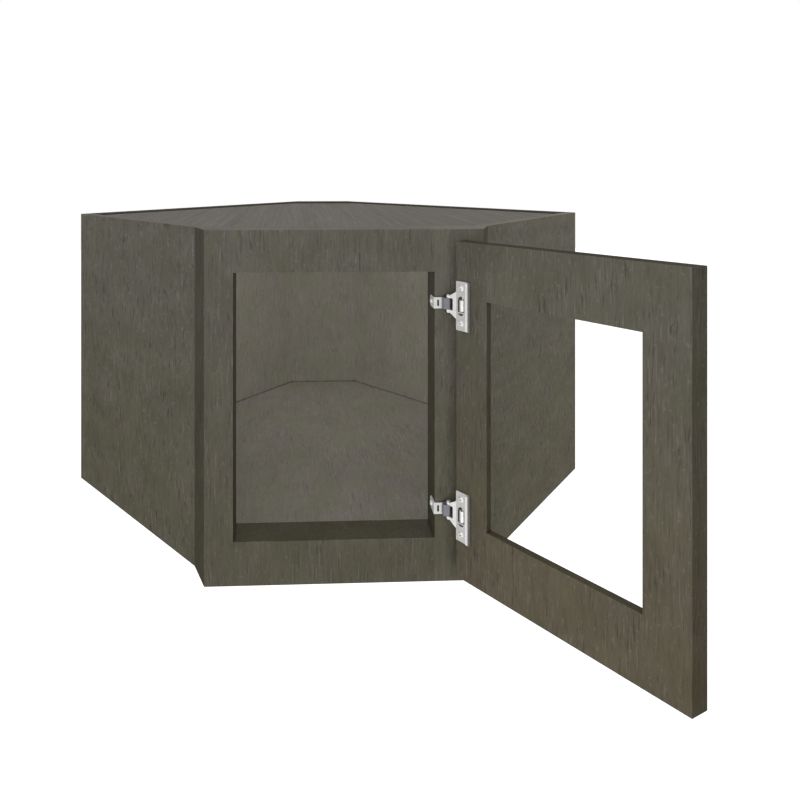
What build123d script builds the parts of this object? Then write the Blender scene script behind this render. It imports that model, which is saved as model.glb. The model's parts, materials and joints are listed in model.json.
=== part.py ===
from build123d import *
import os
from math import cos, radians, sin, sqrt, tan

# Diagonal corner wall cabinet with a framed door that is open for glass, standing ajar.
# The origin is the line where the two room walls meet, level with the underside of the case.
# Both walls run at 45 degrees to X, the front faces -Y and +Z is up. Lengths are in millimetres.

# Case
case_height = 381.0
wall_length = 513.0  # along a wall, from the room corner to the outside of a side panel
side_depth = 277.5  # along a side panel, from the wall to the back of the face frame
corner_flat = 50.0  # from the room corner to the flat across the back of the case
inner_corner = 61.0  # half the width of the flat inside the back corner
side_thickness = 12.7
deck_thickness = 12.7  # top and bottom panels
back_thickness = 6.4
rail_thickness = 12.7  # hanging rails
rail_height = 76.0
top_recess = 2.0  # from the top edge of the case down to the top panel
bottom_recess = 22.3  # from the lower edge of the case up to the bottom panel
dado_depth = 6.0
fit_gap = 0.1  # room on each side of a tongue, tenon or screw

# Face frame
frame_thickness = 34.0
frame_bevel = 25.0  # outer edge of a stile, from square
left_stile = 30.7  # across the front
right_stile = 53.2
frame_top_rail = 46.0
frame_bottom_rail = 47.0
frame_tenon_length = 16.0
frame_tenon_thickness = 10.0
frame_tenon_shoulder = 8.0

# Door
door_open = 130.0  # degrees from closed
overlay_free = 4.2  # of the closed door over the left stile
overlay_hinge = 3.6  # of the closed door over the right stile
door_bottom_reveal = 13.5  # face frame left showing below the door
door_top_reveal = 11.9  # and above it
door_thickness = 19.0
door_stile = 36.3  # across the inner face
door_top_rail = 58.7
door_bottom_rail = 62.1
finger_pull = 5.8  # undercut of the free edge towards the inner face
door_ease = 1.5  # chamfer round the outer face
door_lip = 8.0  # square edge of the window on the inner side
door_bevel = 10.0  # widening of the window from the lip to the outer face
tenon_length = 16.0
tenon_thickness = 6.0
tenon_setback = 5.0  # from the inner face of the door
tenon_shoulder = 10.0

# Hinges
hinge_inset = 79.5  # from the end of the case to the middle of a hinge
sheet = 1.4  # clip and cup plate
leaf_gap = 0.4  # between the clip and the cup plate when the door is closed
pin_outset = 10.5  # from the edge of the door to the pin
pin_radius = 1.2
pin_head_radius = 2.0
pin_head_height = 0.8
press_gap = 0.02
running_gap = 0.06
knuckle_radius = 2.5
knuckle_gap = 0.3
clip_height = 12.0
clip_tab = 16.0
clip_corner = 4.0
clip_slot_width = 2.2
clip_slot_height = 7.0
arm_length = 6.0
arm_ease = 1.2
ear_height = 2.5
ear_flare = 5.5
web_gap = 0.3  # between the arm and the web of the cup plate as the door turns
plate_inset = 0.5  # from the edge of the door
plate_width = 16.5
plate_height = 52.0
plate_corner = 1.0
rib_width = 4.5
rib_rise = 2.0
rib_taper = 20.0  # draft of the sides of the rib
cup_width = 9.6
cup_height = 22.0
cup_depth = 9.0
cup_wall = 0.8
cup_bar = 1.4  # bar across the cup below the roller
roller_radius = 3.7
roller_length = 11.5
roller_rise = 1.3  # of the roller above the inner face of the door
spindle_radius = 1.0
hinge_screw_radius = 1.7
hinge_screw_head = 3.2
hinge_screw_crown = 1.9  # flat top of the head
hinge_screw_rise = 1.6
hinge_screw_length = 13.0
recess_length = 3.0  # cross recess in the head of a screw
recess_width = 0.7
recess_depth = 1.0
cup_screw_spacing = 37.0
clip_screw_setback = 9.0  # from the front of the face frame

# Case geometry
root_two = sqrt(2)
back_offset = rail_thickness + back_thickness
side_inner = wall_length - side_thickness
inner_flat = inner_corner + back_offset * root_two
frame_back_y = -(wall_length + side_depth) / root_two
frame_front_y = frame_back_y - frame_thickness
frame_middle_y = frame_back_y - frame_thickness / 2
frame_back_half = (wall_length - side_depth) / root_two
frame_front_half = frame_back_half - frame_thickness * tan(radians(frame_bevel))
opening_left = frame_front_half - left_stile
opening_right = frame_front_half - right_stile
throat_half = frame_back_half - side_thickness * root_two
bottom_deck_z = bottom_recess
top_deck_z = case_height - top_recess - deck_thickness
deck_levels = (bottom_deck_z, top_deck_z)
rail_levels = {"lower": 0.0, "upper": case_height - rail_height}
back_start = inner_flat * root_two - back_offset

# Plan along the left wall, with X away from the room corner and Y into the room
left_wall = Plane(origin=(0, 0, 0), x_dir=(-1, -1, 0), z_dir=(0, 0, 1))
front_face = Plane(origin=(0, frame_front_y, 0), x_dir=(1, 0, 0), z_dir=(0, -1, 0))
# Edge of the right stile in the opening, seen from the opening, with Y up
hinge_edge = Plane(origin=(opening_right, frame_front_y, 0), x_dir=(0, -1, 0), z_dir=(-1, 0, 0))

# Door and hinge geometry
door_gap = 2 * sheet + leaf_gap
pin_standoff = sheet + knuckle_radius
pin_x = opening_right + overlay_hinge + pin_outset
pin_y = frame_front_y - pin_standoff
door_width = opening_left + opening_right + overlay_free + overlay_hinge
door_height = case_height - door_bottom_reveal - door_top_reveal
door_inner_y = door_gap - pin_standoff
door_outer_y = door_inner_y + door_thickness
door_lip_y = door_inner_y + door_lip
door_free_end = pin_outset + door_width
door_top_z = door_bottom_reveal + door_height
window_near = pin_outset + door_stile
window_far = door_free_end - finger_pull - door_stile
window_bottom_z = door_bottom_reveal + door_bottom_rail
window_top_z = door_top_z - door_top_rail
door_rail_spans = {"bottom": (door_bottom_reveal, window_bottom_z), "top": (window_top_z, door_top_z)}
hinge_levels = {"lower": hinge_inset, "upper": case_height - hinge_inset}
ear_start = clip_height / 2 + knuckle_gap
ear_end = ear_start + ear_height
flare_end = ear_end + ear_flare
web_start = sqrt(arm_length**2 + knuckle_radius**2) + web_gap
plate_start = pin_outset + plate_inset
plate_end = plate_start + plate_width
cup_middle = plate_start + (plate_width - rib_width) / 2

# Plan of the open door, with X from the pin to the free edge and Y towards the outer face
door_plan = Plane(
    origin=(pin_x, pin_y, 0),
    x_dir=(-cos(radians(door_open)), -sin(radians(door_open)), 0),
    z_dir=(0, 0, 1),
)
# Inner face of the door, with Y up
door_face = Plane(
    origin=door_plan.from_local_coords((0, door_inner_y, 0)),
    x_dir=door_plan.x_dir,
    z_dir=-door_plan.y_dir,
)
# Section across the door, with X towards the outer face and Y up
door_section = Plane(origin=door_plan.origin, x_dir=door_plan.y_dir, z_dir=door_plan.x_dir)

pieces = []


def finish(piece, name):
    """Label a finished piece and keep it for writing."""
    piece.part.label = name
    pieces.append(piece.part)


def wall_point(along, away):
    """Point in plan, from distances along the left wall and away from it."""
    return ((away - along) / root_two, -(away + along) / root_two)


def across(point):
    """The same point on the other side of the cabinet."""
    return (-point[0], point[1])


# Side panels, mitred at the front to meet the back of the face frame
with BuildPart() as left_side_panel:
    with BuildSketch(left_wall):
        Polygon(
            (side_inner, 0),
            (wall_length, 0),
            (wall_length, side_depth),
            (side_inner, side_depth + side_thickness),
            align=None,
        )
    extrude(amount=case_height)
    # Dado for the back panel
    with BuildSketch(left_wall):
        with Locations((side_inner, rail_thickness - fit_gap)):
            Rectangle(
                dado_depth + fit_gap,
                back_thickness + 2 * fit_gap,
                align=(Align.MIN, Align.MIN),
            )
    extrude(amount=case_height, mode=Mode.SUBTRACT)
    # Dados for the bottom and top panels
    for deck_z in deck_levels:
        with BuildSketch(left_wall.offset(deck_z - fit_gap)):
            with Locations((side_inner, back_offset)):
                Rectangle(
                    dado_depth + fit_gap,
                    side_depth + side_thickness - back_offset,
                    align=(Align.MIN, Align.MIN),
                )
        extrude(amount=deck_thickness + 2 * fit_gap, mode=Mode.SUBTRACT)
finish(left_side_panel, "left_side_panel")

with BuildPart() as right_side_panel:
    mirror(left_side_panel.part, about=Plane.YZ)
finish(right_side_panel, "right_side_panel")

# Back panels, mitred against the corner panel
with BuildPart() as left_back_panel:
    with BuildSketch(left_wall):
        Polygon(
            (back_start, back_offset),
            ((inner_flat - back_thickness) * root_two - rail_thickness, rail_thickness),
            (side_inner + dado_depth, rail_thickness),
            (side_inner + dado_depth, back_offset),
            align=None,
        )
    extrude(amount=case_height)
finish(left_back_panel, "left_back_panel")

with BuildPart() as right_back_panel:
    mirror(left_back_panel.part, about=Plane.YZ)
finish(right_back_panel, "right_back_panel")

corner_rear = inner_flat - back_thickness
corner_rear_half = corner_rear - rail_thickness * root_two
with BuildPart() as corner_back_panel:
    with BuildSketch():
        Polygon(
            (-inner_corner, -inner_flat),
            (inner_corner, -inner_flat),
            (corner_rear_half, -corner_rear),
            (-corner_rear_half, -corner_rear),
            align=None,
        )
    extrude(amount=case_height)
finish(corner_back_panel, "corner_back_panel")

# Bottom and top panels, let into the side panels and the face frame
deck_front_left = wall_point(side_inner + dado_depth, side_depth + side_thickness - dado_depth)
deck_back_left = wall_point(side_inner + dado_depth, back_offset)
deck_corner_left = (-inner_corner, -inner_flat)
deck_outline = (
    deck_front_left,
    across(deck_front_left),
    across(deck_back_left),
    across(deck_corner_left),
    deck_corner_left,
    deck_back_left,
)
for deck_name, deck_z in zip(("bottom_panel", "top_panel"), deck_levels):
    with BuildPart() as deck:
        with BuildSketch(Plane.XY.offset(deck_z)):
            Polygon(*deck_outline, align=None)
            with Locations((0, frame_back_y - dado_depth / 2)):
                Rectangle(2 * throat_half, dado_depth)
        extrude(amount=deck_thickness)
    finish(deck, deck_name)

# Hanging rails behind the back panels, with a block between them in the corner
for level, rail_z in rail_levels.items():
    with BuildPart() as left_rail:
        with BuildSketch(left_wall.offset(rail_z)):
            Polygon(
                (corner_flat * root_two, 0),
                (side_inner, 0),
                (side_inner, rail_thickness),
                (corner_flat * root_two - rail_thickness, rail_thickness),
                align=None,
            )
        extrude(amount=rail_height)
    finish(left_rail, f"left_{level}_hanging_rail")

    with BuildPart() as right_rail:
        mirror(left_rail.part, about=Plane.YZ)
    finish(right_rail, f"right_{level}_hanging_rail")

    block_half = corner_flat - rail_thickness * root_two
    with BuildPart() as corner_block:
        with BuildSketch(Plane.XY.offset(rail_z)):
            Polygon(
                (-corner_rear_half, -corner_rear),
                (corner_rear_half, -corner_rear),
                (block_half, -corner_flat),
                (-block_half, -corner_flat),
                align=None,
            )
        extrude(amount=rail_height)
    finish(corner_block, f"{level}_corner_block")

# Face frame
opening_width = opening_left + opening_right
opening_middle = (opening_right - opening_left) / 2
frame_rail_spans = {
    "bottom_frame_rail": (0.0, frame_bottom_rail),
    "top_frame_rail": (case_height - frame_top_rail, case_height),
}


def cut_deck_grooves():
    """Cut the grooves for the bottom and top panels in the back of the face frame."""
    for level_z in deck_levels:
        with BuildSketch(Plane.XY.offset(level_z - fit_gap)) as groove:
            with Locations((0, frame_back_y)):
                Rectangle(2 * (throat_half + fit_gap), 2 * (dado_depth + fit_gap))
        extrude(groove.sketch, amount=deck_thickness + 2 * fit_gap, mode=Mode.SUBTRACT)


def cut_frame_mortises(opening_edge):
    """Cut a mortise for the tenon of each frame rail at one edge of the opening."""
    for low_z, high_z in frame_rail_spans.values():
        with BuildSketch(Plane.XY.offset(low_z + frame_tenon_shoulder - fit_gap)) as mortise:
            with Locations((opening_edge, frame_middle_y)):
                Rectangle(
                    2 * (frame_tenon_length + fit_gap),
                    frame_tenon_thickness + 2 * fit_gap,
                )
        mortise_height = high_z - low_z - 2 * frame_tenon_shoulder + 2 * fit_gap
        extrude(mortise.sketch, amount=mortise_height, mode=Mode.SUBTRACT)


with BuildPart() as left_frame_stile:
    with BuildSketch():
        Polygon(
            (-frame_front_half, frame_front_y),
            (-opening_left, frame_front_y),
            (-opening_left, frame_back_y),
            (-frame_back_half, frame_back_y),
            align=None,
        )
    extrude(amount=case_height)
    cut_deck_grooves()
    cut_frame_mortises(-opening_left)
finish(left_frame_stile, "left_frame_stile")

clip_screw_points = [(-clip_screw_setback, hinge_z) for hinge_z in hinge_levels.values()]
with BuildPart() as right_frame_stile:
    with BuildSketch():
        Polygon(
            (opening_right, frame_front_y),
            (frame_front_half, frame_front_y),
            (frame_back_half, frame_back_y),
            (opening_right, frame_back_y),
            align=None,
        )
    extrude(amount=case_height)
    cut_deck_grooves()
    cut_frame_mortises(opening_right)
    # Pilot holes for the hinge clips
    with Locations(hinge_edge):
        with Locations(*clip_screw_points):
            Hole(hinge_screw_radius + fit_gap, depth=hinge_screw_length)
finish(right_frame_stile, "right_frame_stile")

for rail_name, (low_z, high_z) in frame_rail_spans.items():
    with BuildPart() as frame_rail:
        with BuildSketch(front_face):
            with Locations((-opening_left, low_z)):
                Rectangle(opening_width, high_z - low_z, align=(Align.MIN, Align.MIN))
        extrude(amount=-frame_thickness)
        cut_deck_grooves()
        # Tenons
        with BuildSketch(Plane.XY.offset(low_z + frame_tenon_shoulder)):
            with Locations((opening_middle, frame_middle_y)):
                Rectangle(opening_width + 2 * frame_tenon_length, frame_tenon_thickness)
        extrude(amount=high_z - low_z - 2 * frame_tenon_shoulder)
    finish(frame_rail, rail_name)

# Door stiles, bevelled towards the window on the outer side
cup_screw_points = [
    (cup_middle, hinge_z + offset)
    for hinge_z in hinge_levels.values()
    for offset in (-cup_screw_spacing / 2, cup_screw_spacing / 2)
]


def cut_mortises(window_edge):
    """Cut a mortise for the tenon of each door rail at one edge of the window."""
    for low_z, high_z in door_rail_spans.values():
        with BuildSketch(door_plan.offset(low_z + tenon_shoulder - fit_gap)) as mortise:
            with Locations((window_edge, door_inner_y + tenon_setback - fit_gap)):
                Rectangle(
                    2 * (tenon_length + fit_gap),
                    tenon_thickness + 2 * fit_gap,
                    align=(Align.CENTER, Align.MIN),
                )
        mortise_height = high_z - low_z - 2 * tenon_shoulder + 2 * fit_gap
        extrude(mortise.sketch, amount=mortise_height, mode=Mode.SUBTRACT)


def ease_door_ends():
    """Chamfer the outer face at the lower and upper ends of the door."""
    for end_z, inward in ((door_bottom_reveal, door_ease), (door_top_z, -door_ease)):
        with BuildSketch(door_section) as corner:
            Polygon(
                (door_outer_y, end_z),
                (door_outer_y, end_z + inward),
                (door_outer_y - door_ease, end_z),
                align=None,
            )
        extrude(corner.sketch, amount=door_free_end, mode=Mode.SUBTRACT)


with BuildPart() as door_hinge_stile:
    with BuildSketch(door_plan.offset(door_bottom_reveal)):
        Polygon(
            (pin_outset, door_inner_y),
            (window_near, door_inner_y),
            (window_near, door_lip_y),
            (window_near - door_bevel, door_outer_y),
            (pin_outset + door_ease, door_outer_y),
            (pin_outset, door_outer_y - door_ease),
            align=None,
        )
    extrude(amount=door_height)
    ease_door_ends()
    cut_mortises(window_near)
    # Pockets and pilot holes for the hinge cups
    with BuildSketch(door_face):
        for hinge_z in hinge_levels.values():
            with Locations((cup_middle, hinge_z)):
                SlotOverall(cup_height + 2 * fit_gap, cup_width + 2 * fit_gap, rotation=90)
    extrude(amount=-(cup_depth + fit_gap), mode=Mode.SUBTRACT)
    with Locations(door_face):
        with Locations(*cup_screw_points):
            Hole(hinge_screw_radius + fit_gap, depth=hinge_screw_length)
finish(door_hinge_stile, "door_hinge_stile")

# The free edge slopes back to the inner face, for the fingers
with BuildPart() as door_free_stile:
    with BuildSketch(door_plan.offset(door_bottom_reveal)):
        Polygon(
            (window_far, door_inner_y),
            (door_free_end - finger_pull, door_inner_y),
            (door_free_end, door_outer_y - door_ease),
            (door_free_end - door_ease, door_outer_y),
            (window_far + door_bevel, door_outer_y),
            (window_far, door_lip_y),
            align=None,
        )
    extrude(amount=door_height)
    ease_door_ends()
    cut_mortises(window_far)
finish(door_free_stile, "door_free_stile")

# Door rails, coped over the bevels of the stiles and tenoned into them
for rail_name, (low_z, high_z) in door_rail_spans.items():
    with BuildPart() as door_rail_piece:
        with BuildSketch(door_plan.offset(low_z)):
            Polygon(
                (window_near, door_inner_y),
                (window_far, door_inner_y),
                (window_far, door_lip_y),
                (window_far + door_bevel, door_outer_y),
                (window_near - door_bevel, door_outer_y),
                (window_near, door_lip_y),
                align=None,
            )
        extrude(amount=high_z - low_z)
        ease_door_ends()
        # Bevel towards the window
        window_z = high_z if rail_name == "bottom" else low_z
        bevel_z = window_z - door_bevel if rail_name == "bottom" else window_z + door_bevel
        with BuildSketch(door_section):
            Polygon(
                (door_lip_y, window_z),
                (door_outer_y, window_z),
                (door_outer_y, bevel_z),
                align=None,
            )
        extrude(amount=door_free_end, mode=Mode.SUBTRACT)
        # Tenons
        with BuildSketch(door_plan.offset(low_z + tenon_shoulder)):
            with Locations((window_near - tenon_length, door_inner_y + tenon_setback)):
                Rectangle(
                    window_far - window_near + 2 * tenon_length,
                    tenon_thickness,
                    align=(Align.MIN, Align.MIN),
                )
        extrude(amount=high_z - low_z - 2 * tenon_shoulder)
    finish(door_rail_piece, f"door_{rail_name}_rail")

# Hinges
for level, hinge_z in hinge_levels.items():
    clip_plan = Plane.XY.offset(hinge_z - clip_height / 2)

    # Clip bent round the edge of the right stile
    with BuildPart() as hinge_clip:
        with BuildSketch(clip_plan):
            Polygon(
                (opening_right, frame_front_y),
                (opening_right, frame_front_y + clip_tab),
                (opening_right - sheet, frame_front_y + clip_tab),
                (opening_right - sheet, frame_front_y - sheet),
                (pin_x, frame_front_y - sheet),
                (pin_x, frame_front_y),
                align=None,
            )
        extrude(amount=clip_height)
        fillet(hinge_clip.edges().filter_by(Axis.X).group_by(Axis.Y)[-1], radius=clip_corner)
        with Locations(hinge_edge.offset(sheet)):
            with Locations((-clip_screw_setback, hinge_z)):
                Hole(hinge_screw_radius + fit_gap, depth=2 * sheet)
        # Adjusting slot in front of the stile
        with BuildSketch(front_face):
            with Locations(((opening_right - sheet + pin_x - arm_length) / 2, hinge_z)):
                SlotOverall(clip_slot_height, clip_slot_width, rotation=90)
        extrude(amount=sheet, mode=Mode.SUBTRACT)
    finish(hinge_clip, f"{level}_hinge_clip")

    # Arm on the clip, with the middle knuckle
    with BuildPart() as hinge_arm:
        with BuildSketch(clip_plan):
            with Locations((pin_x, frame_front_y - sheet)):
                Rectangle(
                    arm_length,
                    pin_standoff + knuckle_radius - sheet,
                    align=(Align.MAX, Align.MAX),
                )
            with Locations((pin_x, pin_y)):
                Circle(knuckle_radius)
                Circle(pin_radius + press_gap, mode=Mode.SUBTRACT)
        extrude(amount=clip_height)
        outer_edges = hinge_arm.edges().filter_by(Axis.Z).group_by(Axis.X)[0]
        chamfer(outer_edges.sort_by(Axis.Y)[0], length=arm_ease)
    finish(hinge_arm, f"{level}_hinge_arm")

    # Pin through the three knuckles, with a head at each end
    with BuildPart() as hinge_pin:
        with Locations((pin_x, pin_y, hinge_z)):
            Cylinder(pin_radius, 2 * (ear_end + running_gap + pin_head_height))
        for head_side in (-1, 1):
            head_middle = ear_end + running_gap + pin_head_height / 2
            with Locations((pin_x, pin_y, hinge_z + head_side * head_middle)):
                Cylinder(pin_head_radius, pin_head_height)
    finish(hinge_pin, f"{level}_hinge_pin")

    # Cup plate on the door, with two knuckles, a web, a stiffening rib and a cup let into the door
    with BuildPart() as hinge_cup_plate:
        with BuildSketch(door_face):
            for ear_side in (-1, 1):
                Polygon(
                    (0, hinge_z + ear_side * ear_start),
                    (plate_start, hinge_z + ear_side * ear_start),
                    (plate_start, hinge_z + ear_side * flare_end),
                    (knuckle_radius, hinge_z + ear_side * ear_end),
                    (0, hinge_z + ear_side * ear_end),
                    align=None,
                )
            with Locations(((web_start + plate_start) / 2, hinge_z)):
                Rectangle(plate_start - web_start, 2 * ear_end)
            with Locations((plate_start + plate_width / 2, hinge_z)):
                RectangleRounded(plate_width, plate_height, plate_corner)
            with Locations((plate_end - rib_width / 2, hinge_z)):
                Rectangle(rib_width, plate_height)
        extrude(amount=sheet)
        for ear_z in (hinge_z - ear_end, hinge_z + ear_start):
            with BuildSketch(door_plan.offset(ear_z)):
                Circle(knuckle_radius)
            extrude(amount=ear_height)
        with BuildSketch(door_plan.offset(hinge_z - ear_end)):
            Circle(pin_radius + running_gap)
        extrude(amount=2 * ear_end, mode=Mode.SUBTRACT)
        with BuildSketch(door_face.offset(sheet)):
            with Locations((plate_end - rib_width / 2, hinge_z)):
                Rectangle(rib_width, plate_height)
        extrude(amount=rib_rise, taper=rib_taper)
        with BuildSketch(door_face):
            with Locations((cup_middle, hinge_z)):
                SlotOverall(cup_height, cup_width, rotation=90)
        extrude(amount=-cup_depth)
        with BuildSketch(door_face.offset(sheet)):
            with Locations((cup_middle, hinge_z)):
                SlotOverall(cup_height - 2 * cup_wall, cup_width - 2 * cup_wall, rotation=90)
        extrude(amount=-(sheet + cup_depth - cup_wall), mode=Mode.SUBTRACT)
        with BuildSketch(door_face):
            with Locations((cup_middle, hinge_z - roller_length / 2 - cup_bar)):
                Rectangle(cup_width, cup_bar)
        extrude(amount=sheet)
        with Locations(door_face.offset(sheet)):
            with Locations((cup_middle, hinge_z)):
                with GridLocations(1, cup_screw_spacing, 1, 2):
                    Hole(hinge_screw_radius + fit_gap, depth=2 * sheet)
    finish(hinge_cup_plate, f"{level}_hinge_cup_plate")

    # Closing roller on a spindle across the cup
    roller_y = door_inner_y - roller_rise + roller_radius
    spindle_length = cup_height - 2 * cup_wall - 4 * fit_gap
    with BuildPart() as hinge_roller:
        for round_radius, round_length in (
            (roller_radius, roller_length),
            (spindle_radius, spindle_length),
        ):
            with BuildSketch(door_plan.offset(hinge_z - round_length / 2)):
                with Locations((cup_middle, roller_y)):
                    Circle(round_radius)
            extrude(amount=round_length)
    finish(hinge_roller, f"{level}_hinge_roller")

# Screws with a cross recess in the head
to_surface = (Align.CENTER, Align.CENTER, Align.MAX)
from_surface = (Align.CENTER, Align.CENTER, Align.MIN)


def make_screws(surface, points):
    """Put a screw into a surface at each of the points."""
    with Locations(surface):
        with Locations(*points):
            Cylinder(hinge_screw_radius, hinge_screw_length, align=to_surface)
            Cone(hinge_screw_head, hinge_screw_crown, hinge_screw_rise, align=from_surface)
    with Locations(surface.offset(hinge_screw_rise)):
        with Locations(*points):
            for recess_turn in (0, 90):
                Box(
                    recess_length,
                    recess_width,
                    recess_depth,
                    rotation=(0, 0, recess_turn),
                    align=to_surface,
                    mode=Mode.SUBTRACT,
                )


with BuildPart() as hinge_clip_screws:
    make_screws(hinge_edge.offset(sheet), clip_screw_points)
finish(hinge_clip_screws, "hinge_clip_screws")

with BuildPart() as hinge_cup_screws:
    make_screws(door_face.offset(sheet), cup_screw_points)
finish(hinge_cup_screws, "hinge_cup_screws")

os.makedirs("parts", exist_ok=True)
for piece in pieces:
    export_step(piece, f"parts/{piece.label}.step")
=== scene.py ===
import json
from math import cos, radians, sin, sqrt

import bpy
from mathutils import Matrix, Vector


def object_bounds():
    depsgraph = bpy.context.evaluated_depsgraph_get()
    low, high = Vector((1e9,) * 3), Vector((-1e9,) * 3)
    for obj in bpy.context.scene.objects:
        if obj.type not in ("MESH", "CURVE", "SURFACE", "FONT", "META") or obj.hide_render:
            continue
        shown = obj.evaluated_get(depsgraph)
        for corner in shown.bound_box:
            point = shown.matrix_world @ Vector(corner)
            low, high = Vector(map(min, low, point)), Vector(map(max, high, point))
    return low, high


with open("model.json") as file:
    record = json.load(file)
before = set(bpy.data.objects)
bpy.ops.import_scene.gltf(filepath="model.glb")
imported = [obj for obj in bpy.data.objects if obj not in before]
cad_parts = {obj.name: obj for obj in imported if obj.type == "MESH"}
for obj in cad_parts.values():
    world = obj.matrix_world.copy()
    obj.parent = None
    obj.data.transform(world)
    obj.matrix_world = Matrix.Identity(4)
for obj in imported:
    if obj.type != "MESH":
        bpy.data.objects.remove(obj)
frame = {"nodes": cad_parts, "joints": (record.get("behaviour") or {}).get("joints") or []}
cad_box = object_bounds()
nodes = frame["nodes"]
scene = bpy.context.scene

# Lengths are in metres, colours are linear, and a tint multiplies a colour
# Pieces of one kind have the last two words of their names in common

# The photograph's camera: level, turned a little to the right, with the lens shifted for the framing
image_size = 800
sensor_width = 36.0  # in millimetres
focal_pixels = 590.4
axis_pixel = (317.3, 168.1)  # where the lens axis meets the image, from the top left
camera_place = (-0.0526, -1.2269, 0.4470)
camera_turn = 0.0361  # in radians
level_tilt = radians(90)  # from a camera that looks straight down to one that looks level

# Surroundings
hanging_height = 1.37  # of the case above the floor
floor_reach = 12.0
floor_colour = (0.9, 0.9, 0.9, 1)
floor_glow = 0.45
sky_colour = (1, 1, 1, 1)
white_level = 1.0  # of the sky where it is seen
ambient_level = 0.86  # of the sky where it lights the object

# Lamps, with their powers in watts
front_lamp_offset = (-0.2, -0.1, 0.1)  # from the camera
front_lamp_size = 0.5
front_lamp_power = 1.3
top_lamp_place = (0, -0.4, 2.4)
top_lamp_size = 2
top_lamp_power = 1.5
fill_places = ((-0.10, -0.43, 0.30), (0.10, -0.43, 0.30))
fill_radius = 0.06
fill_power = 20.0

# Wood stain
stain_light = (0.158, 0.149, 0.123, 1)
stain_dark = (0.066, 0.062, 0.047, 1)
worn_colour = (0.19, 0.175, 0.14, 1)
olive_tint = (0.985, 0.995, 0.965, 1)
grey_tint = (1.015, 0.995, 1.055, 1)
no_tint = (1, 1, 1, 1)
# Pieces made lighter or darker than the rest, by name: painted light and shade that evens out how much
# light reaches each piece
painted_light_levels = {
    "left_frame_stile": 0.97,
    "right_frame_stile": 1.13,
    "right_side_panel": 1.17,
    "left_back_panel": 1.13,
    "right_back_panel": 1.11,
    "door_hinge_stile": 0.92,
}
# Painted light and shade as tints at the lower and upper ends of a piece, darker and warmer at the lower
# end, or at the front and back ends of the bottom panel, lighter at the back
painted_end_tints = {
    "case": ((0.87, 0.865, 0.77, 1), (0.99, 0.995, 0.985, 1)),
    "door": ((0.96, 0.895, 0.76, 1), (0.97, 0.98, 0.94, 1)),
    "back_panel": (no_tint, no_tint),
    "bottom_panel": ((0.92, 0.92, 0.93, 1), (1.28, 1.28, 1.28, 1)),
}
bottom_panel_ends = (-0.46, -0.12)  # Y where the tints of the bottom panel begin and end
# Painted light on the cabinet's top and painted shade on the rim behind its let-in panel, as tints, and
# the heights they begin at, by kind
top_margin = 0.0002
deck_margin = 0.0025
case_top = cad_box[1].z - top_margin
deck_top = cad_box[1].z - deck_margin
top_painted_light = (1.46, 1.45, 1.60, 1)
rim_painted_shade = (0.78, 0.78, 0.79, 1)
painted_tints_above = {
    "side_panel": (case_top, top_painted_light),
    "frame_stile": (case_top, top_painted_light),
    "frame_rail": (case_top, top_painted_light),
    "top_panel": (deck_top, top_painted_light),
    "back_panel": (deck_top, rim_painted_shade),
}
# Tints of narrow edges, by kind and for the other kinds, and of bevels
edge_tints = {
    "frame_stile": (0.40, 0.40, 0.375, 1),
    "frame_rail": (0.40, 0.40, 0.385, 1),
    "free_stile": (0.63, 0.62, 0.60, 1),
}
edge_tint = (0.58, 0.57, 0.54, 1)
bevel_tints = {"frame_stile": (0.64, 0.63, 0.61, 1)}
# How squarely a surface looks along the facing of its piece
edge_facing = (0.75, 0.6)  # from a face to a narrow edge
bevel_facing = (0.30, 0.15)  # from a bevel to a square edge

# Wood grain: frequency along X, Y and Z, then the detail, roughness and distortion of each noise
grain_patterns = {
    "streaks": ((380, 380, 36), 2.0, 0.6, 0.3),
    "dark_lines": ((640, 640, 46), 1.0, 0.5, 0.4),
    "pale_lines": ((690, 690, 50), 1.0, 0.5, 0.4),
    "threads": ((1500, 1500, 130), 2.0, 0.5, 0.0),
    "dots": ((330, 330, 210), 1.0, 0.5, 0.5),
    "figure": ((70, 70, 14), 2.0, 0.5, 0.8),
    "mottle": ((30, 30, 24), 3.0, 0.6, 0.0),
    "hue": ((34, 34, 26), 2.0, 0.55, 0.0),
}
# What each pattern adds to the tone, which runs from the dark stain at 0 to the light one at 1
tone_base = -0.235
tone_shares = {
    "streaks": 0.42,
    "threads": 0.35,
    "dots": 0.30,
    "figure": 0.28,
    "mottle": 0.42,
    "dark_lines": -0.38,
    "pale_lines": 0.36,
}
# Ranges of the noises over which lines and dots appear, and the hue goes from olive to grey
line_range = (0.58, 0.72)
dot_range = (0.62, 0.74)
hue_range = (0.36, 0.64)
lined_range = (0.38, 0.60)  # of the hue, from few lines to all of them
fewest_lines = 0.35
# Range of the tone in calmer pieces, by kind
calm_tones = {
    "back_panel": (0.26, 0.74),
    "bottom_panel": (0.26, 0.74),
    "top_panel": (0.20, 0.80),
}
# Grain that is wider, shorter or longer than on the front, as its frequency along X, Y and Z, by name
grain_scales = {
    "left_side_panel": (0.46, 0.46, 1.3),
    "right_side_panel": (0.55, 0.55, 2.2),
    "left_back_panel": (0.7, 0.7, 1.0),
    "right_back_panel": (0.7, 0.7, 1.0),
    "corner_back_panel": (0.7, 0.7, 1.0),
    "bottom_panel": (0.75, 1.0, 0.75),
    "top_panel": (1.2, 0.08, 1.0),
}
common_grain_scale = (1, 1, 1)
seed_step = (0.37, 0.23, 0.71)  # through the grain from one piece to the next

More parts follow.
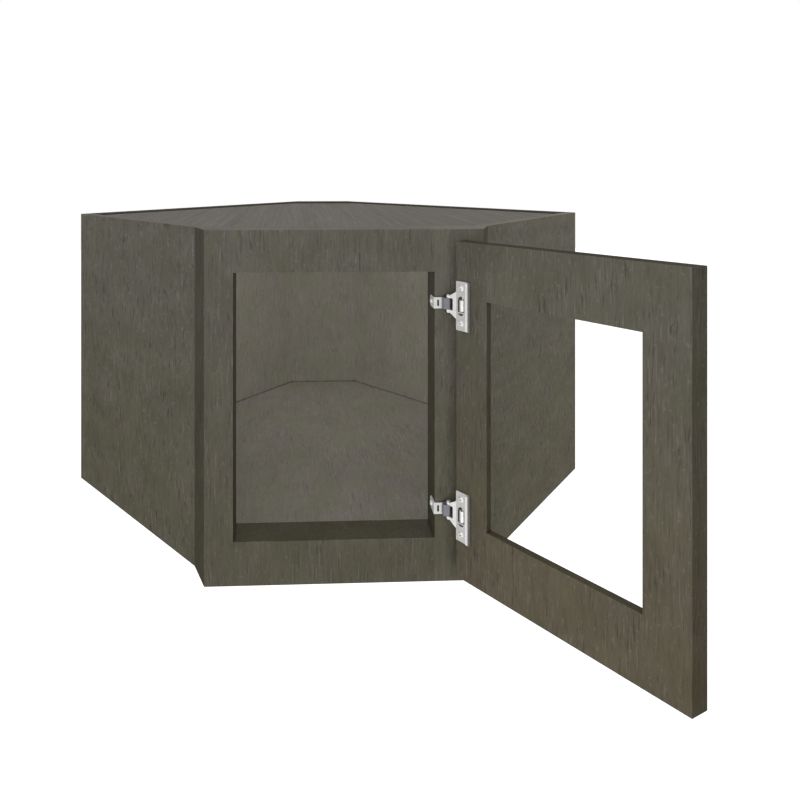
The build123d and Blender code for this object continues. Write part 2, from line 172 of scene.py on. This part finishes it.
# Wood surface
wood_crevice_reach = 0.006
wood_crevice_depth = 0.62  # share of its brightness that the wood loses as painted shade in crevices between pieces
wood_corner_radius = 0.0007
wear_range = (0.42, 0.62)  # of the mottle, from whole corners to worn ones
most_wear = 0.4
dull_range = (0.3, 0.7)  # of the streaks, from the smoother wood to the rougher
wood_roughness = (0.60, 0.75)
wood_bump = (0.25, 0.0002)  # strength and distance
wood_specular = 0.0  # no gloss, which would veil surfaces seen at a low angle

# Metals of the hinges
clip_nickel = (0.62, 0.615, 0.60)
arm_zinc = (0.20, 0.205, 0.225)
screw_steel = (0.84, 0.835, 0.82)
roller_steel = (0.92, 0.915, 0.90)
# Hinge plate, by distance from the hinge pin: its dull field, and where painted shade begins on the bar
# along its end as the bar turns away
plate_polished = (0.80, 0.79, 0.77, 1)
plate_dull = (0.52, 0.515, 0.50, 1)
field_middle = 0.0171
field_half = 0.0060
bar_turn = (0.0250, 0.0266)
bar_painted_shade = (0.32, 0.318, 0.31, 1)

# Metal surface, with noises written as those of the grain are
cloud_pattern = ((240, 240, 240), 3.0, 0.5, 0.0)
cloud_range = (0.35, 0.65)
cloud_levels = (0.90, 1.0)
scratch_pattern = ((3200, 3200, 260), 2.0, 0.5, 0.0)
scratch_range = (0.3, 0.7)
scratch_roughness = 0.12  # the most that scratches add
metal_crevice_reach = 0.003
metal_corner_radius = 0.0004
corner_wear_and_highlight = 1.22  # of corners, brightened by wear and by a painted highlight, against the rest
most_corner_brightening = 0.7
metal_bump = (0.12, 0.0001)  # strength and distance

# Corners and crevices as the shader finds them
corner_samples = 6
corner_agreement = (0.99, 0.86)  # of the rounded and the real normal, from a face to a corner
crevice_samples = 8
crevice_openness = (0.80, 0.42)  # from an open surface to a deep crevice


# Node helpers
class Tree:
    """A node tree with short ways to add and join nodes."""

    def __init__(self, owner):
        owner.use_nodes = True
        self.tree = owner.node_tree
        self.tree.nodes.clear()

    def add(self, kind, **settings):
        node = self.tree.nodes.new(kind)
        for name, value in settings.items():
            setattr(node, name, value)
        return node

    def feed(self, socket, value):
        """Join an output to a socket, or set the socket to a constant."""
        if isinstance(value, bpy.types.NodeSocket):
            self.tree.links.new(value, socket)
        else:
            socket.default_value = value

    def math(self, operation, *values):
        node = self.add("ShaderNodeMath", operation=operation)
        for socket, value in zip(node.inputs, values):
            self.feed(socket, value)
        return node.outputs["Value"]

    def vector(self, operation, *values):
        node = self.add("ShaderNodeVectorMath", operation=operation)
        for socket, value in zip(node.inputs, values):
            self.feed(socket, value)
        return node.outputs["Value" if operation == "DOT_PRODUCT" else "Vector"]

    def noise(self, place, frequency, detail, roughness, distortion):
        node = self.add("ShaderNodeTexNoise")
        self.feed(node.inputs["Vector"], self.vector("MULTIPLY", place, frequency))
        node.inputs["Scale"].default_value = 1.0
        node.inputs["Detail"].default_value = detail
        node.inputs["Roughness"].default_value = roughness
        node.inputs["Distortion"].default_value = distortion
        return node.outputs["Fac"]

    def span(self, value, low, high, to_low=0.0, to_high=1.0):
        """Map a value's range to another, smoothly and held at the ends."""
        node = self.add("ShaderNodeMapRange", interpolation_type="SMOOTHSTEP")
        for socket, part in zip(node.inputs, (value, low, high, to_low, to_high)):
            self.feed(socket, part)
        return node.outputs["Result"]

    def mix(self, share, first, second):
        node = self.add("ShaderNodeMix", data_type="RGBA")
        self.feed(node.inputs["Factor"], share)
        colours = [socket for socket in node.inputs if socket.type == "RGBA"]
        self.feed(colours[0], first)
        self.feed(colours[1], second)
        return [socket for socket in node.outputs if socket.type == "RGBA"][0]

    def tinted(self, colour, tint):
        """A colour times another."""
        return self.vector("MULTIPLY", colour, tint)

    def scaled(self, colour, factor):
        """A colour times a number."""
        result = self.vector("SCALE", colour)
        self.feed(result.node.inputs["Scale"], factor)
        return result

    def corner(self, radius):
        """1 close to a sharp corner and 0 away from it."""
        node = self.add("ShaderNodeBevel", samples=corner_samples)
        node.inputs["Radius"].default_value = radius
        normal = self.add("ShaderNodeNewGeometry").outputs["Normal"]
        return self.span(self.vector("DOT_PRODUCT", node.outputs["Normal"], normal), *corner_agreement)

    def shaded(self, colour, reach, depth):
        """A colour with painted shade in crevices, where it loses up to the share depth of its brightness.
        """
        node = self.add("ShaderNodeAmbientOcclusion", samples=crevice_samples)
        node.inputs["Distance"].default_value = reach
        crevice = self.span(node.outputs["AO"], *crevice_openness)
        return self.scaled(colour, self.math("MULTIPLY_ADD", crevice, -depth, 1.0))

    def surface(self, colour, roughness, relief, bump_strength, bump_distance):
        """End a material in a shader with a slightly uneven surface, and return the shader's node."""
        bump = self.add("ShaderNodeBump")
        bump.inputs["Strength"].default_value = bump_strength
        bump.inputs["Distance"].default_value = bump_distance
        self.feed(bump.inputs["Height"], relief)
        shader = self.add("ShaderNodeBsdfPrincipled")
        self.feed(shader.inputs["Base Color"], colour)
        self.feed(shader.inputs["Roughness"], roughness)
        self.feed(shader.inputs["Normal"], bump.outputs["Normal"])
        output = self.add("ShaderNodeOutputMaterial")
        self.feed(output.inputs["Surface"], shader.outputs["BSDF"])
        return shader

    def seen_directly(self):
        """1 for camera, glossy and transmission rays, and 0 for the rays that light the object."""
        path = self.add("ShaderNodeLightPath")
        seen = self.math("MAXIMUM", path.outputs["Is Camera Ray"], path.outputs["Is Glossy Ray"])
        return self.math("MAXIMUM", seen, path.outputs["Is Transmission Ray"])


# Directions that faces look along and the grain runs in, and those of the door in its open pose
half = sqrt(0.5)
left_facing = (half, half, 0)
right_facing = (half, -half, 0)
front_facing = (0, 1, 0)
level_facing = (0, 0, 1)
upright = (0, 0, 1)
inward = (0, 1, 0)
door_swing = frame["joints"][0]
opened = radians(max(abs(limit) for limit in door_swing["range_deg"]))
door_facing = (sin(opened), -cos(opened), 0)
door_along = (-cos(opened), -sin(opened), 0)
pin_place = tuple(door_swing["pos_m"])


def grain_layers(wood, board):
    """The patterns of the grain, with fewer lines in the olive patches."""
    layers = {pattern: wood.noise(board, *settings) for pattern, settings in grain_patterns.items()}
    lined = wood.span(layers["hue"], *lined_range, fewest_lines, 1.0)
    for pattern in ("dark_lines", "pale_lines"):
        layers[pattern] = wood.math("MULTIPLY", wood.span(layers[pattern], *line_range), lined)
    layers["dots"] = wood.span(layers["dots"], *dot_range)
    return layers


def grain_tone(wood, layers, kind):
    """The tone that the patterns add up to, held between the dark stain and the light one."""
    tone = tone_base
    for pattern, share in tone_shares.items():
        tone = wood.math("MULTIPLY_ADD", layers[pattern], share, tone)
    tone.node.use_clamp = True
    if kind in calm_tones:
        tone = wood.span(tone, 0.0, 1.0, *calm_tones[kind])
    return tone


def stained_wood(name, seed, facing, grain):
    """Dark stained wood with fine grain. Surfaces that don't look along facing are narrow edges."""
    material = bpy.data.materials.new(name)
    wood = Tree(material)
    kind = "_".join(name.split("_")[-2:])
    place = wood.add("ShaderNodeTexCoord")
    position = place.outputs["Object"]
    parts = wood.add("ShaderNodeSeparateXYZ")
    wood.feed(parts.inputs["Vector"], position)
    height = parts.outputs["Z"]

    # Coordinates with the grain along Z, at a place of its own for each piece
    mapping = wood.add("ShaderNodeMapping", vector_type="POINT")
    wood.feed(mapping.inputs["Vector"], position)
    turn = Vector(grain).rotation_difference(Vector(upright)).to_euler()
    mapping.inputs["Scale"].default_value = grain_scales.get(name, common_grain_scale)
    mapping.inputs["Rotation"].default_value = turn
    mapping.inputs["Location"].default_value = [step * seed for step in seed_step]
    board = mapping.outputs["Vector"]

    layers = grain_layers(wood, board)
    colour = wood.mix(grain_tone(wood, layers, kind), stain_dark, stain_light)
    colour = wood.tinted(colour, wood.mix(wood.span(layers["hue"], *hue_range), olive_tint, grey_tint))

    # Painted light and shade from end to end: darker and warmer towards the bottom, and lighter towards
    # the back on the bottom panel
    if kind == "bottom_panel":
        along = wood.span(parts.outputs["Y"], *bottom_panel_ends)
    else:
        along = wood.span(height, 0.0, case_top)
    group = "door" if name.startswith("door") else kind
    colour = wood.tinted(colour, wood.mix(along, *painted_end_tints.get(group, painted_end_tints["case"])))
    # Painted light and shade for each piece
    colour = wood.scaled(colour, painted_light_levels.get(name, 1.0))

    # Narrow edges are darker than faces, but not where the painted light of the top or the painted shade
    # of the rim takes over
    square_on = wood.math("ABSOLUTE", wood.vector("DOT_PRODUCT", place.outputs["Normal"], facing))
    edge = wood.span(square_on, *edge_facing)
    if kind in painted_tints_above:
        level, tint = painted_tints_above[kind]
        above = wood.math("GREATER_THAN", height, level)
        edge = wood.math("MULTIPLY", edge, wood.math("SUBTRACT", 1.0, above))
        colour = wood.tinted(colour, wood.mix(above, no_tint, tint))
    narrow = edge_tints.get(kind, edge_tint)
    if kind in bevel_tints:
        narrow = wood.mix(wood.span(square_on, *bevel_facing), bevel_tints[kind], narrow)
    colour = wood.tinted(colour, wood.mix(edge, no_tint, narrow))
    # Painted shade in crevices between pieces
    colour = wood.shaded(colour, wood_crevice_reach, wood_crevice_depth)

    # Corners rubbed a little lighter here and there
    worn = wood.span(layers["mottle"], *wear_range, 0.0, most_wear)
    colour = wood.mix(wood.math("MULTIPLY", wood.corner(wood_corner_radius), worn), colour, worn_colour)

    roughness = wood.span(layers["streaks"], *dull_range, *wood_roughness)
    relief = wood.math("SUBTRACT", layers["streaks"], layers["dark_lines"])
    shader = wood.surface(colour, roughness, relief, *wood_bump)
    shader.inputs["Specular IOR Level"].default_value = wood_specular
    return material


def plate_nickel(metal, place):
    """The colour of a hinge plate: polished round a dull field, with painted shade where its bar turns
    away.
    """
    from_pin = metal.vector("DOT_PRODUCT", metal.vector("SUBTRACT", place, pin_place), door_along)
    field = metal.math("COMPARE", from_pin, field_middle, field_half)
    colour = metal.mix(field, plate_polished, plate_dull)
    return metal.mix(metal.span(from_pin, *bar_turn), colour, bar_painted_shade)


def plated_metal(name, colour, roughness, metallic, crevice_depth):
    """Plated or cast metal with faint scratches, painted shade in crevices, and corners brightened by wear
    and by a painted highlight.

    Its colour is a constant, or a function that makes the colour from the node tree and the place.
    """
    material = bpy.data.materials.new(name)
    metal = Tree(material)
    place = metal.add("ShaderNodeTexCoord").outputs["Object"]
    if callable(colour):
        colour = colour(metal, place)
    cloud = metal.noise(place, *cloud_pattern)
    scratch = metal.noise(place, *scratch_pattern)
    body = metal.scaled(colour, metal.span(cloud, *cloud_range, *cloud_levels))
    # Painted shade in the crevices of the hinge parts
    body = metal.shaded(body, metal_crevice_reach, crevice_depth)
    # Corners brightened by wear and by a painted highlight
    worn_and_lit = metal.math("MULTIPLY", metal.corner(metal_corner_radius), most_corner_brightening)
    finished = metal.mix(worn_and_lit, body, metal.scaled(colour, corner_wear_and_highlight))
    dulled = metal.span(scratch, *scratch_range, roughness, roughness + scratch_roughness)
    shader = metal.surface(finished, dulled, scratch, *metal_bump)
    shader.inputs["Metallic"].default_value = metallic
    return material


def dress(name, material):
    """Give a CAD node a material."""
    slots = nodes[name].data.materials
    slots.clear()
    slots.append(material)


# Wood on the CAD nodes, each with the direction that its faces look along
facings = {
    "left_side_panel": left_facing,
    "right_side_panel": right_facing,
    "left_frame_stile": front_facing,
    "right_frame_stile": front_facing,
    "bottom_frame_rail": front_facing,
    "top_frame_rail": front_facing,
    "left_back_panel": right_facing,
    "right_back_panel": left_facing,
    "corner_back_panel": front_facing,
    "left_lower_hanging_rail": right_facing,
    "left_upper_hanging_rail": right_facing,
    "right_lower_hanging_rail": left_facing,
    "right_upper_hanging_rail": left_facing,
    "lower_corner_block": front_facing,
    "upper_corner_block": front_facing,
    "bottom_panel": level_facing,
    "top_panel": level_facing,
    "door_hinge_stile": door_facing,
    "door_free_stile": door_facing,
    "door_bottom_rail": door_facing,
    "door_top_rail": door_facing,
}
for seed, (name, facing) in enumerate(facings.items()):
    grain = inward if facing == level_facing else upright
    dress(name, stained_wood(name, seed, facing, grain))

# Metal on the hinges
clip_metal = plated_metal("nickel_clip", clip_nickel, roughness=0.26, metallic=0.35, crevice_depth=0.75)
plate_metal = plated_metal("nickel_plate", plate_nickel, roughness=0.26, metallic=0.5, crevice_depth=0.35)
arm_metal = plated_metal("dark_zinc", arm_zinc, roughness=0.38, metallic=0.4, crevice_depth=0.35)
screw_metal = plated_metal("screw_steel", screw_steel, roughness=0.22, metallic=0.5, crevice_depth=0.75)
roller_metal = plated_metal("roller_steel", roller_steel, roughness=0.16, metallic=0.4, crevice_depth=0.75)
for hinge in ("lower_hinge", "upper_hinge"):
    dress(f"{hinge}_clip", clip_metal)
    dress(f"{hinge}_cup_plate", plate_metal)
    dress(f"{hinge}_arm", arm_metal)
    dress(f"{hinge}_pin", screw_metal)
    dress(f"{hinge}_roller", roller_metal)
dress("hinge_clip_screws", screw_metal)
dress("hinge_cup_screws", screw_metal)

# White surroundings
world = bpy.data.worlds.new("studio")
scene.world = world
sky = Tree(world)
background = sky.add("ShaderNodeBackground")
background.inputs["Color"].default_value = sky_colour
strength = sky.math("MULTIPLY_ADD", sky.seen_directly(), white_level - ambient_level, ambient_level)
sky.feed(background.inputs["Strength"], strength)
sky_output = sky.add("ShaderNodeOutputWorld")
sky.feed(sky_output.inputs["Surface"], background.outputs["Background"])

# Floor, far below the case
bpy.ops.mesh.primitive_plane_add(size=2 * floor_reach, location=(0, 0, -hanging_height))
floor = bpy.context.object
floor.name = "floor"
paper = bpy.data.materials.new("white_floor")
floor.data.materials.append(paper)
sheet = Tree(paper)
diffuse = sheet.add("ShaderNodeBsdfDiffuse")
diffuse.inputs["Color"].default_value = floor_colour
glow = sheet.add("ShaderNodeEmission")
sheet.feed(glow.inputs["Strength"], sheet.math("MULTIPLY", sheet.seen_directly(), floor_glow))
both = sheet.add("ShaderNodeAddShader")
sheet.feed(both.inputs[0], diffuse.outputs["BSDF"])
sheet.feed(both.inputs[1], glow.outputs["Emission"])
sheet_output = sheet.add("ShaderNodeOutputMaterial")
sheet.feed(sheet_output.inputs["Surface"], both.outputs["Shader"])


def make_steady(data):
    """Keep a lamp's light from fading with distance."""
    tree = Tree(data)
    falloff = tree.add("ShaderNodeLightFalloff")
    falloff.inputs["Strength"].default_value = 1.0
    emission = tree.add("ShaderNodeEmission")
    tree.feed(emission.inputs["Strength"], falloff.outputs["Constant"])
    output = tree.add("ShaderNodeOutputLight")
    tree.feed(output.inputs["Surface"], emission.outputs["Emission"])


def place_lamp(data, place):
    """Put a lamp in the scene, hidden from the camera."""
    lamp = bpy.data.objects.new(data.name, data)
    scene.collection.objects.link(lamp)
    lamp.location = place
    lamp.visible_camera = False
    return lamp


def soft_lamp(name, place, size, power):
    """A square lamp aimed at the middle of the part."""
    data = bpy.data.lights.new(name, "AREA")
    data.shape = "SQUARE"
    data.size = size
    data.energy = power
    lamp = place_lamp(data, place)
    middle = (cad_box[0] + cad_box[1]) / 2
    lamp.rotation_euler = (middle - Vector(place)).to_track_quat("-Z", "Y").to_euler()
    return data


# Soft light from the front and above, and a fill inside the case
front_lamp_place = Vector(camera_place) + Vector(front_lamp_offset)
make_steady(soft_lamp("front_lamp", front_lamp_place, front_lamp_size, front_lamp_power))
soft_lamp("top_lamp", top_lamp_place, top_lamp_size, top_lamp_power)
for fill_place in fill_places:
    fill = bpy.data.lights.new("inner_fill", "POINT")
    fill.energy = fill_power
    fill.shadow_soft_size = fill_radius
    make_steady(fill)
    fill_lamp = place_lamp(fill, fill_place)
    fill_lamp.visible_glossy = False

# Camera
camera_data = bpy.data.cameras.new("camera")
camera_data.sensor_width = sensor_width
camera_data.lens = focal_pixels / image_size * sensor_width
camera_data.shift_x = 0.5 - axis_pixel[0] / image_size
camera_data.shift_y = axis_pixel[1] / image_size - 0.5
camera = bpy.data.objects.new("camera", camera_data)
scene.collection.objects.link(camera)
camera.location = camera_place
camera.rotation_euler = (level_tilt, 0, -camera_turn)
scene.camera = camera
scene.view_settings.view_transform = "Standard"
